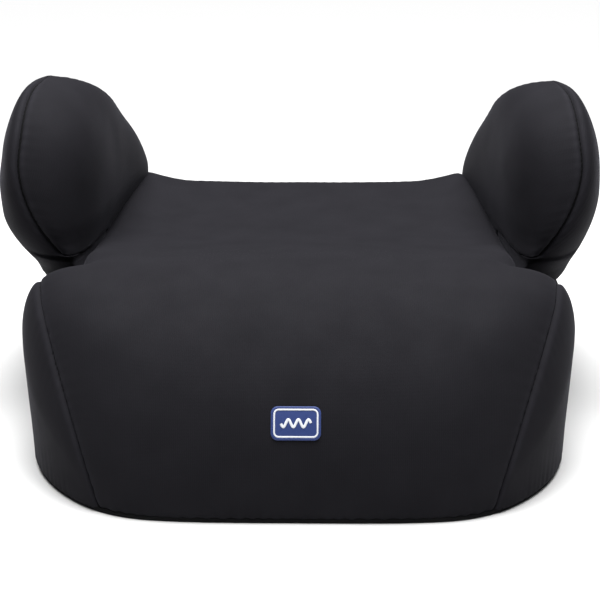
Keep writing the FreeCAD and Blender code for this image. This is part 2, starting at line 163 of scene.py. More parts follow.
def edge_round(y, z):
    """Width over which seat and walls run into each other."""
    front = 7.0 + 39.0 * smooth((z - 15.0) / 95.0)
    return np.where(y > 60.0, REAR_ROUND, front)


def crease_round(y):
    """Width of the round beside the crease, which opens towards the notch."""
    return 8.0 + 10.0 * smooth((70.0 - y) / 90.0) + 14.0 * smooth((-25.0 - y) / 30.0)


def body_top(x, y, z):
    """Below zero inside the seat and thigh roll."""
    f = smax(-sheet_depth(x, y, z), -wall_depth(x, y, z), edge_round(y, z))
    return smax(f, -cut_depth(x, y, z), crease_round(y))


def body_all(x, y, z):
    """Below zero inside the seat, the thigh roll or the armrests' deck."""
    foot = smax(-wall_depth(x, y, z), z - PIT_Z, PIT_ROUND)
    return np.minimum(body_top(x, y, z), np.maximum(foot, NOTCH_FRONT_Y - 6.0 - y))


def seam_side(x, y, z):
    """Above zero on the seat panel's side of the seam that joins it to the side panel."""
    front = SEAM_X + SEAM_LEAN * z + SEAM_CURVE * z * z - np.abs(x)
    shoulder = wall_depth(x, y, z) - SEAM_SHOULDER
    return front + (shoulder - front) * smooth((y + 104.0) / 16.0)


def march(field, start, step, reach):
    """Surface points on rays that leave the inside of a field at start."""
    near, far = np.zeros(start.shape[:-1]), np.full(start.shape[:-1], float(reach))
    for _ in range(30):
        mid = (near + far) / 2.0
        p = start + step * mid[..., None]
        inside = field(p[..., 0], p[..., 1], p[..., 2]) < 0.0
        near, far = np.where(inside, mid, near), np.where(inside, far, mid)
    return start + step * near[..., None]


# ---- small tools ----

def grid_normals(p, outward):
    """Unit normals of a grid of points, pointing the way of outward(points)."""
    n = np.cross(np.gradient(p, axis=0), np.gradient(p, axis=1))
    n /= np.maximum(np.linalg.norm(n, axis=-1, keepdims=True), 1e-9)
    flip = np.sign(np.sum(n * outward, axis=-1).mean())
    return n * flip


def lattice(p):
    """Repeatable random value for each whole-number point."""
    v = np.sin(p[..., 0] * 127.1 + p[..., 1] * 311.7 + p[..., 2] * 74.7) * 43758.5453
    return v - np.floor(v)


def noise(p, size, seed=0.0):
    """Smooth noise from -1 to 1 with features of the given size."""
    q = p / size + seed
    base, f = np.floor(q), q - np.floor(q)
    f = f * f * (3.0 - 2.0 * f)
    total = 0.0
    for corner in np.ndindex(2, 2, 2):
        c = np.array(corner)
        weight = np.prod(np.where(c == 1, f, 1.0 - f), axis=-1)
        total = total + weight * lattice(base + c)
    return total * 2.0 - 1.0


def along(p, axis):
    """Distance run along a grid's rows or columns."""
    d = np.linalg.norm(np.diff(p, axis=axis), axis=-1)
    run = np.cumsum(d, axis=axis)
    pad = [(0, 0), (0, 0)]
    pad[axis] = (1, 0)
    return np.pad(run, pad)


def running(path):
    """Distance run along a path to each of its points."""
    return np.concatenate([[0.0], np.cumsum(np.linalg.norm(np.diff(path, axis=0), axis=1))])


def make_mesh(name, p, uv=None, closed_cols=False, flip=False, seam_highlight=None):
    """Mesh object from a grid of points in millimetres, with the cloth's grain as its UV map."""
    rows, cols = p.shape[:2]
    index = np.arange(rows * cols).reshape(rows, cols)
    if closed_cols:
        index = np.hstack([index, index[:, :1]])
    quads = np.stack([index[:-1, :-1], index[:-1, 1:], index[1:, 1:], index[1:, :-1]], -1)
    quads = quads.reshape(-1, 4)
    if flip:
        quads = quads[:, ::-1]
    mesh = bpy.data.meshes.new(name)
    mesh.from_pydata((p.reshape(-1, 3) * MM).tolist(), [], quads.tolist())
    if uv is not None:
        layer = mesh.uv_layers.new(name="grain")
        flat = uv.reshape(-1, 2)[quads.reshape(-1)] * MM
        layer.data.foreach_set("uv", flat.astype(np.float32).ravel())
    # Marks where the knit gets a painted highlight on the ridge beside a seam.
    if seam_highlight is not None:
        highlight_layer = mesh.attributes.new("seam_highlight", "FLOAT", "POINT")
        highlight_layer.data.foreach_set("value", seam_highlight.astype(np.float32).ravel())
    mesh.polygons.foreach_set("use_smooth", [True] * len(mesh.polygons))
    mesh.update()
    obj = bpy.data.objects.new(name, mesh)
    bpy.context.collection.objects.link(obj)
    return obj


def mirror(p, side):
    """Points of the +X side, or their mirror images for side = -1."""
    return p * np.array([side, 1.0, 1.0])


SEAM_TUCK, SEAM_W = 2.2, 1.7        # depth and half width of a seam's groove
PUCKER, PUCKER_REACH = 0.35, 7.0


def ridge_highlight(distance):
    """How much painted highlight the cloth gets at a distance from a seam: most on the ridge beside it.
    """
    return np.exp(-((distance - 3.2) / 2.2) ** 2)


def seam_effect(p, normal, distance, run, seed):
    """Pulls cloth into the seam that lies distance away and puckers it beside it."""
    groove = SEAM_TUCK * np.exp(-(distance / SEAM_W) ** 1.5)
    drift = noise(np.stack([run * 0.05, distance * 0.0, distance * 0.0 + seed], -1), 1.0, seed)
    wave = np.sin(run * 2.0 * np.pi / 8.5 + 3.0 * drift) * (0.6 + 0.4 * drift)
    ripple = PUCKER * wave * np.exp(-distance / PUCKER_REACH) * np.clip(distance / 1.5, 0.0, 1.0)
    return p + normal * (ripple - groove)[..., None]


def hem_effect(p, normal, height, run, seed):
    """Rounds the lower edge under and gathers it where the elastic hem is sewn on."""
    drift = noise(np.stack([run * 0.06, 0.0 * run, 0.0 * run + seed], -1), 1.0, seed)
    tuck = 1.8 * np.exp(-(height / 2.0) ** 2)
    gather = (0.45 + 0.3 * drift) * np.sin(run * 2.0 * np.pi / 9.0 + 4.0 * drift)
    gather = gather * np.exp(-height / 9.0)
    wavy = 0.35 * noise(np.stack([run, 0.0 * run, 0.0 * run], -1), 23.0, seed + 3.0)
    shift = wavy * np.exp(-height / 12.0)
    moved = p + normal * (gather - tuck)[..., None]
    return moved + np.array([0.0, 0.0, 1.0]) * shift[..., None]


def soften(p, normal, seed, amount=0.35, size=34.0):
    """Slight unevenness of cloth over foam."""
    w = noise(p, size, seed) * 0.7 + noise(p, size * 0.45, seed + 9.0) * 0.3
    return p + normal * (w * amount)[..., None]


def border_distance(p):
    """Distance along the cloth from each point of a grid to the nearest edge of the panel."""
    across, down = along(p, 1), along(p, 0)
    return np.minimum(np.minimum(across, across[:, -1:] - across), np.minimum(down, down[-1:] - down))


SETTLE_FRAMES = 12
SETTLE_LIMIT = 1.6          # most the foam lets the cloth move, in millimetres
SETTLE_FADE = 4.0           # the cloth moves in full from this far off a seam
SEAM_HOLD = 5.0             # the seam's hold on the cloth ends this far off
FOAM_HOLD = 0.06            # the foam's hold on the cloth, where a seam's is 1
EASE_AT, EASE_W = 9.0, 9.0  # middle and half width of the eased band beside a seam
EASE = 0.035                # share by which the cloth is cut longer there


def settle(obj, p):
    """Cloth simulation of a padded panel: held at its seams, eased beside them, pressed out by foam."""
    distance = border_distance(p)
    held = np.clip(1.0 - distance / SEAM_HOLD, FOAM_HOLD, 1.0)
    eased = np.exp(-((distance - EASE_AT) / EASE_W) ** 2)
    for name, weights in (("held", held), ("eased", eased)):
        group = obj.vertex_groups.new(name=name)
        for i, w in enumerate(weights.ravel().tolist()):
            group.add([i], w, "REPLACE")
    cloth = obj.modifiers.new("settle", "CLOTH")
    spring = cloth.settings
    spring.quality = 5
    spring.mass = 0.2
    spring.tension_stiffness = 30.0
    spring.compression_stiffness = 30.0
    spring.shear_stiffness = 10.0
    spring.bending_stiffness = 0.4
    spring.vertex_group_mass = "held"
    spring.pin_stiffness = 1.0
    spring.vertex_group_shrink = "eased"
    spring.shrink_min = 0.0
    spring.shrink_max = -EASE
    spring.use_pressure = True
    spring.uniform_pressure_force = 0.3
    spring.effector_weights.gravity = 0.0
    cloth.collision_settings.use_collision = False
    cloth.point_cache.frame_start = 1
    cloth.point_cache.frame_end = SETTLE_FRAMES
    scene = bpy.context.scene
    for number in range(1, SETTLE_FRAMES + 1):
        scene.frame_set(number)
    drawn = obj.evaluated_get(bpy.context.evaluated_depsgraph_get()).data
    after = np.empty(len(drawn.vertices) * 3, np.float32)
    drawn.vertices.foreach_get("co", after)
    scene.frame_set(1)
    obj.modifiers.remove(cloth)
    obj.vertex_groups.clear()
    before = p.reshape(-1, 3)
    move = after.reshape(-1, 3) / MM - before
    size = np.maximum(np.linalg.norm(move, axis=1, keepdims=True), 1e-6)
    move *= SETTLE_LIMIT * np.tanh(size / SETTLE_LIMIT) / size
    move *= smooth(distance.reshape(-1, 1) / SETTLE_FADE)
    obj.data.vertices.foreach_set("co", ((before + move) * MM).astype(np.float32).ravel())
    obj.data.update()


def thicken(obj, thickness=1.1):
    """Gives the cloth its thickness, in millimetres, on its inner side."""
    solid = obj.modifiers.new("cloth", "SOLIDIFY")
    solid.thickness = thickness * MM
    solid.offset = -1.0


# ---- seat panel ----

def seat_rows():
    """Origins and directions, in the YZ plane, of the seat panel's rows from front to rear."""
    rows = []
    low = math.asin((FLOOR_GAP - ROLL_Z) / ROLL_RZ)
    for a in np.linspace(low, math.pi / 2, 88)[:-1]:
        rows.append((ROLL_Y, ROLL_Z, -math.cos(a), math.sin(a)))
    ys = np.concatenate([np.linspace(ROLL_Y, -50.0, 18)[:-1], np.linspace(-50.0, REAR_RAY_Y, 84)])
    for y in ys:
        rows.append((y, ROLL_Z, 0.0, 1.0))
    for b in np.linspace(0.0, REAR_TURN, 14)[1:]:
        rows.append((REAR_RAY_Y, REAR_RAY_Z, math.sin(b), math.cos(b)))
    return np.array(rows)


FRONT_INSET, REAR_INSET = 45.0, 20.0        # how far inside the panel's edge its pivots lie


def seat_grid():
    """Half of the seat panel, and which of its rows lie behind the notch.

    Each row runs from the middle line to a pivot, and then turns round that pivot to the
    seam (in front) or to the crease beside the armrest (behind).
    """
    rows = seat_rows()
    n = len(rows)
    origin = np.stack([np.zeros(n), rows[:, 0], rows[:, 1]], -1)
    out = np.stack([np.zeros(n), rows[:, 2], rows[:, 3]], -1)
    top = march(body_top, origin, out, REACH)
    reach = np.sum((top - origin) * out, -1)
    late = smooth((top[:, 1] + 85.0) / 35.0)
    late = np.where(rows[:, 2] < 0.0, 0.0, late)
    inset = FRONT_INSET + (REAR_INSET - FRONT_INSET) * late
    below = origin + out * (reach - FRONT_INSET - 1.0)[:, None]
    wide = march(body_top, below, np.array([1.0, 0.0, 0.0]), 230.0)[:, 0]
    limit = wide + (crease_x(top[:, 1]) - wide) * late
    pivot_x, pivot_r = limit - inset, reach - inset
    flat = np.linspace(0.0, 1.0, 62)[:-1]
    start = origin[:, None, :] + np.array([1.0, 0.0, 0.0]) * (pivot_x[:, None] * flat)[..., None]
    start = start + out[:, None, :] * 5.0
    middle = march(body_top, start, out[:, None, :] + 0.0 * start, REACH)
    pivot = origin + out * pivot_r[:, None] + np.array([1.0, 0.0, 0.0]) * pivot_x[:, None]

    def at_angle(angle):
        sideways = np.sin(angle)[..., None] * np.array([1.0, 0.0, 0.0])
        step = np.cos(angle)[..., None] * out[:, None, :] + sideways
        return march(body_top, pivot[:, None, :] + 0.0 * step, step, 120.0)

    low, high = np.zeros((n, 1)), np.full((n, 1), math.radians(110.0))
    for _ in range(26):
        mid = (low + high) / 2.0
        q = at_angle(mid)[:, 0]
        before = (seam_side(q[:, 0], q[:, 1], q[:, 2]) > 0.0)[:, None]
        low, high = np.where(before, mid, low), np.where(before, high, mid)
    seam_end = low[:, 0]
    crease_end = math.radians(108.0)
    behind = top[:, 1] > NOTCH_FRONT_Y
    end = np.where(behind, crease_end, seam_end)
    q = np.linspace(0.0, 1.0, 40)
    bend = at_angle(end[:, None] * (1.0 - (1.0 - q) ** 1.6)[None, :])
    half = np.concatenate([middle, bend], axis=1)
    return half, behind


def build_seat_panel(half, behind):
    """Front and seat panel in one piece, mirrored about the middle line."""
    out = half - np.array([0.0, ROLL_Y, ROLL_Z])
    normal = grid_normals(half, out)
    from_edge = along(half[:, ::-1], 1)[:, ::-1]
    run = along(half, 0)[:, -1:] + 0.0 * from_edge
    seam_here = np.where(behind, 40.0, 0.0)[:, None] + from_edge
    shaped = seam_effect(half, normal, seam_here, run, 1.0)
    rear_dist = along(half[::-1], 0)[::-1]
    shaped = seam_effect(shaped, normal, rear_dist, half[..., 0], 2.0)
    shaped = hem_effect(shaped, normal, along(half, 0), half[..., 0], 3.0)
    full = np.concatenate([mirror(shaped, -1.0)[:, :0:-1], shaped], axis=1)
    full_normal = np.concatenate([mirror(normal, -1.0)[:, :0:-1], normal], axis=1)
    full = soften(full, full_normal, 4.0)
    u = along(half, 1)
    u = np.concatenate([-u[:, :0:-1], u], axis=1)
    v = along(half, 0)[:, :1] + 0.0 * u
    # Painted highlight on the ridges beside the side seams and the rear seam.
    wear_and_highlight = np.maximum(ridge_highlight(seam_here), ridge_highlight(rear_dist))
    wear_and_highlight = np.concatenate([wear_and_highlight[:, :0:-1], wear_and_highlight], axis=1)
    obj = make_mesh("seat_panel_cover", full, np.stack([u, v], -1), seam_highlight=wear_and_highlight)
    settle(obj, full)
    thicken(obj)
    return obj


# ---- side and back panels ----

def plan_path():
    """Points and inward normals round the +X wall at the shoulder, from front seam to rear seam."""
    pts = []
    start = math.acos((FRONT_SEAM_X / BASE_HALF_W) ** (NOSE_POWER / 2.0))
    for a in np.linspace(start, 0.0, 70)[:-1]:
        c, s = math.cos(a), math.sin(a)
        pts.append((BASE_HALF_W * c ** (2.0 / NOSE_POWER), NOSE_Y - NOSE_LEN * s ** (2.0 / NOSE_POWER)))
    for y in np.linspace(NOSE_Y, REAR_Y - REAR_CORNER_R, 74)[:-1]:
        pts.append((BASE_HALF_W, y))
    for a in np.linspace(0.0, math.pi / 2, 26):
        pts.append((BASE_HALF_W - REAR_CORNER_R * (1.0 - math.cos(a)),
                    REAR_Y - REAR_CORNER_R * (1.0 - math.sin(a))))
    p = np.array(pts)
    t = np.gradient(p, axis=0)
    t /= np.linalg.norm(t, axis=1, keepdims=True)
    return p, np.stack([-t[:, 1], t[:, 0]], -1)


def side_top(p, inward, seam):
    """Height at which each column of the side panel ends."""
    z = np.full(len(p), 100.0)
    for _ in range(12):
        w = np.where(p[:, 1] > NOTCH_FRONT_Y, 3.5, edge_round(p[:, 1], z) / 4.0)
        foot = np.concatenate([p + inward * w[:, None], np.full((len(p), 1), 0.5)], 1)
        z = 0.5 * z + 0.5 * march(body_all, foot, np.array([0.0, 0.0, 1.0]) + 0.0 * foot, REACH)[:, 2]
    tangent = np.stack([-inward[:, 1], inward[:, 0]], -1)
    for i in range(len(p)):
        if p[i, 1] > NOTCH_FRONT_Y:
            continue
        ahead = (seam[:, :2] - p[i]) @ tangent[i]
        crossing = np.flatnonzero(np.diff(np.sign(ahead)) != 0)
        if len(crossing) == 0:
            z[i] = seam[0, 2] if p[i, 1] < -100.0 else seam[-1, 2]
            continue
        j = crossing[0]
        t = ahead[j] / (ahead[j] - ahead[j + 1])
        z[i] = seam[j, 2] + t * (seam[j + 1, 2] - seam[j, 2])
    return z


WALL_RAY_IN = 16.0          # rays that find the wall start this far inside it


def side_grid(seam):
    """Grid of the +X side panel, with the inward normal of each column."""
    p, inward = plan_path()
    top = side_top(p, inward, seam)
    q = np.linspace(0.0, 1.0, 64)
    q = 1.0 - (1.0 - q) ** 1.25
    z = FLOOR_GAP + (np.maximum(top, FLOOR_GAP + 0.2) - FLOOR_GAP)[None, :] * q[:, None]
    inside = p + inward * WALL_RAY_IN
    start = np.stack([inside[:, 0] + 0.0 * z, inside[:, 1] + 0.0 * z, z], -1)
    step = np.stack([-inward[:, 0] + 0.0 * z, -inward[:, 1] + 0.0 * z, 0.0 * z], -1)
    return march(body_all, start, step, 40.0), inward


def build_side_panel(name, side, seam):
    """Side panel of the cover, from the seam on the front round to the rear seam."""
    grid, inward = side_grid(seam)
    out = np.stack([-inward[:, 0], -inward[:, 1], 0.0 * inward[:, 0]], -1)[None] + 0.0 * grid
    normal = grid_normals(grid, out)
    up = along(grid[::-1], 0)[::-1]
    run = along(grid, 1)[-1:] + 0.0 * up
    shaped = seam_effect(grid, normal, up, run, 5.0)
    rear = along(grid[:, ::-1], 1)[:, ::-1]
    shaped = seam_effect(shaped, normal, rear, grid[..., 2], 6.0)
    shaped = hem_effect(shaped, normal, grid[..., 2] - FLOOR_GAP, run, 8.0)
    shaped = soften(shaped, normal, 7.0 + side)
    uv = np.stack([along(grid, 1)[:1] + 0.0 * up, grid[..., 2]], -1)
    shaped = mirror(shaped, side)
    # Painted highlight on the ridge beside the seam along the panel's top.
    obj = make_mesh(name + "_side_panel_cover", shaped, uv, flip=side > 0, seam_highlight=ridge_highlight(up))
    settle(obj, shaped)
    thicken(obj)
    return obj


def build_deck(name, side):
    """Cloth that lines the foot of the armrest and the notch."""
    p, inward = plan_path()
    keep = p[:, 1] > NOTCH_FRONT_Y - 6.0
    p, inward = p[keep], inward[keep]
    foot = p + inward * 1.2
    inner = np.stack([crease_x(p[:, 1]) - 8.0, np.minimum(p[:, 1], REAR_Y - 8.0)], -1)
    q = np.linspace(0.0, 1.0, 24)[:, None]
    start = foot[None] + (inner - foot)[None] * (q ** 1.5)[..., None]
    depth = np.minimum(np.linalg.norm(start - p[None], axis=-1), PIT_ROUND)
    drop = (math.sqrt(PIT_ROUND) - np.sqrt(depth)) ** 2
    grid = np.concatenate([start, (PIT_Z - drop)[..., None]], -1)
    uv = grid[..., :2]
    obj = make_mesh(name + "_armrest_foot_lining", mirror(grid, side), uv, flip=side > 0)
    thicken(obj)
    return obj


TUCK_X, TUCK_W = 131.0, 12.0        # where the back panel's top dips beside the armrests


def build_back_panel():
    """Back panel, which turns over the rear edge and tucks down under the armrests."""
    half_w = BASE_HALF_W - REAR_CORNER_R
    x = np.linspace(-half_w, half_w, 150)
    origin = np.stack([x, 0.0 * x + REAR_RAY_Y, 0.0 * x + REAR_RAY_Z], -1)
    step = np.array([0.0, math.sin(REAR_TURN), math.cos(REAR_TURN)]) + 0.0 * origin

    def rear(px, py, pz):
        return smax(-sheet_depth(px, py, pz), -wall_depth(px, py, pz), REAR_ROUND)

    top = march(rear, origin, step, 80.0)[:, 2]
    tuck = smooth((np.abs(x) - TUCK_X) / TUCK_W)
    top = top + (PIT_Z - 4.0 - top) * tuck
    q = np.linspace(0.0, 1.0, 60)[:, None]
    z = FLOOR_GAP + (top[None] - FLOOR_GAP) * q
    start = np.stack([x[None] + 0.0 * z, 0.0 * z + REAR_RAY_Y, z], -1)
    grid = march(rear, start, np.array([0.0, 1.0, 0.0]) + 0.0 * start, 60.0)
    normal = grid_normals(grid, np.array([0.0, 1.0, 0.0]) + 0.0 * grid)
    up = along(grid[::-1], 0)[::-1]
    shaped = seam_effect(grid, normal, up, grid[..., 0], 11.0)
    edge = np.minimum(along(grid, 1), along(grid[:, ::-1], 1)[:, ::-1])
    shaped = seam_effect(shaped, normal, edge, grid[..., 2], 12.0)
    shaped = hem_effect(shaped, normal, grid[..., 2] - FLOOR_GAP, grid[..., 0], 14.0)
    shaped = soften(shaped, normal, 13.0)
    obj = make_mesh("back_panel_cover", shaped, np.stack([grid[..., 0], grid[..., 2]], -1), flip=True)
    settle(obj, shaped)
    thicken(obj)
    return obj


# ---- armrests ----

ARM_TOP_Y = 54.0
ARM_TOP_Z = {"left": 241.3, "right": 238.5}     # the left armrest stands a little higher
ARM_WIDEST_Z = 150.0        # height at which the front end stands furthest forward
ARM_FRONT_LEN = ARM_TOP_Y - ARM_TIP_Y
ARM_REAR_LEN = ARM_REAR_Y - ARM_TOP_Y
ARM_NECK_Z, ARM_NECK_LEN = 128.0, 60.0
ARM_FRONT_POWER, ARM_REAR_POWER = 2.3, 1.3
ARM_SEAM_X, ARM_SEAM_Z = 198.3, 200.0           # where the rim's seam stands furthest out
ARM_LOW_PART = 0.38         # share of a panel's rows that lie below the widest height
ARM_INNER_FILL = {"left": 10.0, "right": 5.0}   # how far foam pushes the inner faces inwards


def power_arc(t, power):
    """Quarter of a superellipse: 1 at t = 0, 0 at t = 1."""
    return np.maximum(0.0, 1.0 - np.abs(t) ** power) ** (1.0 / power)


def arm_front_y(z, top_z):
    """Front end of the armrest, averaged over a short height so that its curves run together."""
    rise = np.clip((z - ARM_WIDEST_Z) / (top_z - ARM_WIDEST_Z), 0.0, 1.0)
    total = 0.0
    for shift in (-12.0, -6.0, 0.0, 6.0, 12.0):
        h = z + shift * (1.0 - rise) ** 0.5
        climb = np.clip((h - ARM_WIDEST_Z) / (top_z - ARM_WIDEST_Z), 0.0, 1.0)
        upper = power_arc(climb, ARM_FRONT_POWER)
        lower = power_arc((ARM_WIDEST_Z - np.clip(h, ARM_NECK_Z, ARM_WIDEST_Z)) / ARM_NECK_LEN, 2.0)
        total = total + np.where(h > ARM_WIDEST_Z, upper, lower) / 5.0
    neck = 5.0 * smooth((ARM_NECK_Z - z) / 22.0)
    return ARM_TOP_Y - ARM_FRONT_LEN * total + neck


def arm_seam_x(y, z, front):
    """Distance from the middle of the seam round the armrest's rim."""
    low = ARM_SEAM_X - 0.0055 * (np.maximum(z, 112.0) - ARM_SEAM_Z) ** 2
    over = 164.0 + 33.0 / (1.0 + np.exp((y - 66.0) / 12.0)) - 0.07 * (y + 18.0)
    over = np.maximum(over, 156.0) - 5.0 * smooth((y - 70.0) / 60.0)
    rim = low + (np.minimum(over, ARM_SEAM_X) - low) * smooth((z - 180.0) / 36.0)
    return np.where(front, rim, over)


def arm_inner_x(y, z, name):
    """The inner face; the left armrest is a little fuller than the right one."""
    return crease_x(y) + CREASE_OFFSET - ARM_INNER_FILL[name] * smooth((z - 104.0) / 46.0)


def arm_outer_x(y, z, name):
    """The outer face; the left armrest is filled a little lower down than the right one."""
    back = np.maximum(0.0, y - 30.0) / 130.0
    if name == "left":
        flare = 28.0 * smooth((147.0 - z) / 57.0) - 2.2 * smooth((192.0 - z) / 24.0)
    else:
        flare = 20.0 * (np.clip(165.0 - z, 0.0, 65.0) / 65.0) ** 2
    return ARM_OUT_X - 6.0 * back ** 1.5 - flare * (1.0 - 0.28 * back)


def arm_rear_y(z, top_z):
    """Rear end of the armrest, which comes forward above the neck."""
    climb = np.clip((z - ARM_NECK_Z) / (top_z - ARM_NECK_Z), 0.0, 1.0)
    return ARM_TOP_Y + ARM_REAR_LEN * power_arc(climb, ARM_REAR_POWER)


def arm_grid(name, outer):
    """Grid of one armrest panel: rows from foot to top, columns from front seam to rear seam.

    The seam runs round the tip and, low down, curls inwards under the inner panel.
    """
    top_z = ARM_TOP_Z[name]
    v = np.linspace(0.0, 1.0, 120)[:, None]
    foot = DECK_Z - 1.5
    z_low = foot + (ARM_WIDEST_Z - foot) * np.clip(v / ARM_LOW_PART, 0.0, 1.0)
    climb = np.clip((v - ARM_LOW_PART) / (1.0 - ARM_LOW_PART), 0.0, 1.0)
    rise = np.sin(climb * math.pi / 2.0 * 0.999)
    z = np.where(v < ARM_LOW_PART, z_low, ARM_WIDEST_Z + (top_z - ARM_WIDEST_Z) * rise)
    y_front = arm_front_y(z, top_z)
    y_rear = arm_rear_y(z, top_z)
    curl = 1.4 * smooth((128.5 - z) / 8.0)
    t = np.linspace(0.0, 1.0, 100)[None, :]
    t = t - 0.09 * np.sin(2.0 * np.pi * t)
    a = -curl + (math.pi + curl) * t if outer else curl + (math.pi - curl) * t
    forward = np.cos(a)
    y = (y_front + y_rear) / 2.0 + (y_front - y_rear) / 2.0 * forward
    x_front = arm_seam_x(y_front, z, True)
    x_rear = arm_seam_x(y_rear, z, False)
    seam = x_rear + (x_front - x_rear) * (1.0 + forward) / 2.0
    on_outer = (a > 0.0) if outer else (a < -1.0)
    face = np.where(on_outer, arm_outer_x(y, z, name), arm_inner_x(y, z, name))
    crown_out = np.sqrt(np.maximum(0.0, 1.0 - rise ** 2.5))
    crown_in = np.maximum(0.0, 1.0 - rise ** 3.2) ** 0.8
    crown = np.where(on_outer, crown_out, crown_in)
    rear_power = np.where(on_outer, 2.9, 7.0 - 4.0 * smooth(rise * 1.6))
    power = np.where(forward > 0, 2.3, rear_power)
    swell = np.maximum(0.0, 1.0 - np.abs(forward) ** power) ** (1.0 / power)
    x = seam + (face - seam) * crown * swell
    return np.stack([x, y + 0.0 * x, z + 0.0 * x], -1)


ARM_CENTRE = np.array([180.0, 80.0, 160.0])     # a point inside the +X armrest


def build_arm_panel(name, side, outer):
    """Inner or outer panel of an armrest's cover."""
    grid = arm_grid(name, outer)
    normal = grid_normals(grid, grid - ARM_CENTRE)
    edge = np.minimum(along(grid, 1), along(grid[:, ::-1], 1)[:, ::-1])
    up = along(grid, 0)
    shaped = seam_effect(grid, normal, edge, up, 21.0 + outer)
    if outer:
        shaped = seam_effect(shaped, normal, up, along(grid, 1), 27.0)
    shaped = soften(shaped, normal, 23.0 + outer + side, 0.5, 40.0)
    uv = np.stack([along(grid, 1), grid[..., 2]], -1)
    kind = "outer" if outer else "inner"
    away = (side > 0) != outer
    shaped = mirror(shaped, side)
    # Painted highlight on the ridges beside the seams round the rim.
    obj = make_mesh(f"{name}_armrest_{kind}_cover", shaped, uv, flip=away, seam_highlight=ridge_highlight(edge))
    settle(obj, shaped)
    thicken(obj)
    return obj


# ---- hem ----

def footprint(z, count):
    """The body's outline at height z, as points and inward directions round the whole base."""
    angle = np.linspace(0.0, 2.0 * np.pi, count, endpoint=False)
    step = np.stack([np.cos(angle), np.sin(angle), 0.0 * angle], -1)
    start = np.array([0.0, 0.0, z]) + 0.0 * step
    p = march(body_all, start, step, 300.0)[:, :2]
    t = np.roll(p, -1, axis=0) - np.roll(p, 1, axis=0)
    t /= np.linalg.norm(t, axis=1, keepdims=True)
    return p, np.stack([-t[:, 1], t[:, 0]], -1)


# Section of the hem, as (distance inwards, height): under the wall, along the floor, round the elastic.
HEM_SECTION = [
    (2.0, 4.4), (0.9, 3.2), (0.2, 1.9), (0.5, 0.8), (2.0, 0.45), (6.5, 0.35), (9.0, 0.4),
    (11.5, 0.5), (14.0, 0.6), (16.0, 0.5), (18.5, 0.5), (21.0, 0.6), (23.0, 1.6), (24.0, 3.6),
    (23.2, 5.8), (21.0, 7.0), (18.5, 7.3), (16.0, 6.8), (14.4, 5.2), (14.0, 3.2), (14.6, 1.8),
]
HEM_DROP = 0.3              # lowers that section until its gathers touch the floor


def build_hem():
    """Turned-in gathered hem, rolled round its elastic."""
    p, inward = footprint(FLOOR_GAP + 1.0, 900)
    run = running(p)
    rows = []
    drift = noise(np.stack([run * 0.05, 0.0 * run, 0.0 * run], -1), 1.0, 31.0)
    for i, (inset, height) in enumerate(HEM_SECTION):
        grow = min(1.0, inset / 20.0)
        wave = 0.5 + 0.5 * np.sin(run * 2.0 * np.pi / 7.0 + 5.0 * drift + 0.12 * i)
        lift = 1.5 * grow * wave * (0.6 + 0.4 * drift)
        side = 0.8 * grow * np.sin(run * 2.0 * np.pi / 11.0 + 2.0 * drift)
        flat = p + inward * (inset + side)[:, None]
        rows.append(np.concatenate([flat, (height + lift - HEM_DROP)[:, None]], 1))
    grid = np.array(rows)
    uv = np.stack([run[None] + 0.0 * grid[..., 0], along(grid, 0)], -1)
    obj = make_mesh("gathered_hem", grid, uv, closed_cols=True, flip=True)
    thicken(obj, 0.7)
    return obj


# ---- seam beads ----

THREAD_LAY = 4.0            # length over which a seam's thread turns once


THREAD_STEP = 0.7           # distance between the rings of a thread's mesh


def tube(name, path, normal, radius, sink):
    """Twisted two-strand thread that runs along a path, sunk below the cloth."""
    length = running(path)
    fine = np.arange(0.0, length[-1], THREAD_STEP)
    path = np.stack([np.interp(fine, length, path[:, i]) for i in range(3)], -1)
    normal = np.stack([np.interp(fine, length, normal[:, i]) for i in range(3)], -1)
    t = np.gradient(path, axis=0)
    t /= np.maximum(np.linalg.norm(t, axis=1, keepdims=True), 1e-9)
    n = normal - t * np.sum(normal * t, axis=1, keepdims=True)
    n /= np.maximum(np.linalg.norm(n, axis=1, keepdims=True), 1e-9)
    b = np.cross(t, n)
    centre = path - n * sink
    ring = np.linspace(0.0, 2.0 * np.pi, 8, endpoint=False)
    twist = 2.0 * np.pi * running(path) / THREAD_LAY
    rows = []
    for a in ring:
        swell = (radius * (1.0 + 0.22 * np.cos(a * 2.0 - twist)))[:, None]
        rows.append(centre + swell * (math.cos(a) * n + math.sin(a) * b))
    grid = np.stack(rows, axis=1)
    uv = np.stack([along(grid, 0), np.tile(ring * radius, (len(path), 1))], -1)
    return make_mesh(name, grid, uv, closed_cols=True)


# ---- label ----

LABEL_W = LABEL_HI[0] - LABEL_LO[0]
LABEL_Z = (LABEL_LO[2] + LABEL_HI[2]) / 2.0
LABEL_SLOPE = math.hypot(LABEL_HI[1] - LABEL_LO[1], LABEL_HI[2] - LABEL_LO[2])
LABEL_H = LABEL_SLOPE - 0.9
LABEL_BEND = 125.0          # radius of the front where the label lies
LABEL_CORNER = 4.5
LABEL_POINTS = 220
# Section of the label's rim, as (distance in from the edge, height above the cloth).
LABEL_SECTION = [
    (0.0, -0.6), (0.0, 0.4), (0.1, 0.85), (0.5, 1.15), (1.0, 1.2), (1.5, 1.1), (2.0, 0.95),
    (3.0, 0.95), (5.0, 0.98), (7.5, 1.0), (9.9, 1.0),
]
BORDER_INSET, BORDER_CORNER = 2.2, 2.9
# Section of a thread band, as (share of half the width, share of the lift).
BAND_SECTION = [
    (-1.0, -0.3), (-0.96, 0.7), (-0.5, 1.0), (0.0, 1.06), (0.5, 1.0), (0.96, 0.7), (1.0, -0.3),
]


